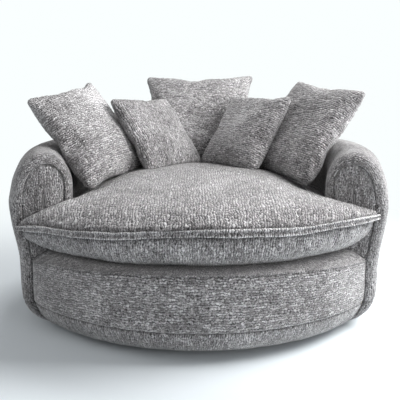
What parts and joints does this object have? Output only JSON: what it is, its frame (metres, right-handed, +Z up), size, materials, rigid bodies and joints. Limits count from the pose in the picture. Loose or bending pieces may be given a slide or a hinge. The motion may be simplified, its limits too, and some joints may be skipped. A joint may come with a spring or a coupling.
{
  "type": "swivel cuddle chair",
  "caption": "Round upholstered cuddle chair: horseshoe back and arms on a drum base that swivels on a low plinth, round seat cushion and loose cushions.",
  "frame": {"origin": "on the floor under the swivel axis, in the middle of the round base", "axes": "+Z up, -Y towards the open front of the seat, +X to the right of someone who faces the chair's front"},
  "size_m": [1.4, 1.4, 0.8435],
  "materials": {
    "base_fabric": "chunky grey chenille, light and dark flecks, brushed one way on each panel",
    "cushion_fabric": "chunky light grey chenille, light and dark flecks",
    "foam": "open-cell upholstery foam, cream",
    "plywood": "unfinished birch plywood",
    "hardboard": "bent brown hardboard",
    "webbing": "woven elastic webbing, dark",
    "lining": "black non-woven lining",
    "steel": "zinc-plated pressed steel",
    "glide": "black moulded plastic"
  },
  "bodies": {
    "plinth": {"glide_1": "glide", "glide_2": "glide", "glide_3": "glide", "glide_4": "glide", "glide_5": "glide", "glide_6": "glide", "plinth_disc": "plywood", "bearing_lower_race": "steel", "lower_screw_1": "steel", "lower_screw_2": "steel", "lower_screw_3": "steel", "lower_screw_4": "steel"},
    "ball_ring": {"bearing_ball_cage": "steel"},
    "chair": {"bearing_upper_race": "steel", "upper_screw_1": "steel", "upper_screw_2": "steel", "upper_screw_3": "steel", "upper_screw_4": "steel", "bottom_ring": "plywood", "seat_ring": "plywood", "rail_across": "plywood", "rail_front_to_back": "plywood", "base_post_1": "plywood", "base_post_2": "plywood", "base_post_3": "plywood", "base_post_4": "plywood", "base_post_5": "plywood", "base_post_6": "plywood", "back_upright_1": "plywood", "back_upright_2": "plywood", "back_upright_3": "plywood", "back_upright_4": "plywood", "top_rail": "plywood", "arm_board_right": "plywood", "arm_board_left": "plywood", "front_skin": "hardboard", "front_padding": "foam", "front_cover": "base_fabric", "wrap_padding": "foam", "wrap_cover": "base_fabric", "arm_facing_right": "base_fabric", "arm_facing_left": "base_fabric", "webbing_x_1": "webbing", "webbing_x_2": "webbing", "webbing_x_3": "webbing", "webbing_x_4": "webbing", "webbing_y_1": "webbing", "webbing_y_2": "webbing", "webbing_y_3": "webbing", "webbing_y_4": "webbing", "deck_pad": "foam", "deck_cover": "base_fabric", "dust_cover": "lining"},
    "seat": {"seat_cushion": "cushion_fabric"},
    "centre_cushion": {"back_cushion_centre": "cushion_fabric"},
    "left_cushion": {"back_cushion_left": "cushion_fabric"},
    "right_cushion": {"back_cushion_right": "cushion_fabric"},
    "small_right": {"small_cushion_right": "cushion_fabric"},
    "small_left": {"small_cushion_left": "cushion_fabric"}
  },
  "joints": [
    {"name": "swivel", "type": "hinge", "parent": "plinth", "child": "chair", "pos_m": [0, 0, 0.0318], "axis": [0, 0, 1], "continuous": true},
    {"name": "cage_spin", "type": "hinge", "parent": "plinth", "child": "ball_ring", "pos_m": [0, 0, 0.0318], "axis": [0, 0, 1], "continuous": true},
    {"name": "seat_lift", "type": "slide", "parent": "chair", "child": "seat", "axis": [0, 0, 1], "range_m": [0, 0.35]},
    {"name": "centre_cushion_lift", "type": "slide", "parent": "seat", "child": "centre_cushion", "axis": [0.011, 0.6292, 0.7771], "range_m": [0, 0.4]},
    {"name": "left_cushion_lift", "type": "slide", "parent": "seat", "child": "left_cushion", "axis": [-0.5534, 0.2699, 0.788], "range_m": [0, 0.4]},
    {"name": "right_cushion_lift", "type": "slide", "parent": "seat", "child": "right_cushion", "axis": [0.519, 0.2759, 0.809], "range_m": [0, 0.4]},
    {"name": "small_right_lift", "type": "slide", "parent": "seat", "child": "small_right", "axis": [0.114, 0.0798, 0.9903], "range_m": [0, 0.4]},
    {"name": "small_left_lift", "type": "slide", "parent": "seat", "child": "small_left", "axis": [-0.1563, 0.1094, 0.9816], "range_m": [0, 0.4]}
  ],
  "couplings": [
    {"joint": "cage_spin", "follows": "swivel", "ratio": 0.5}
  ]
}
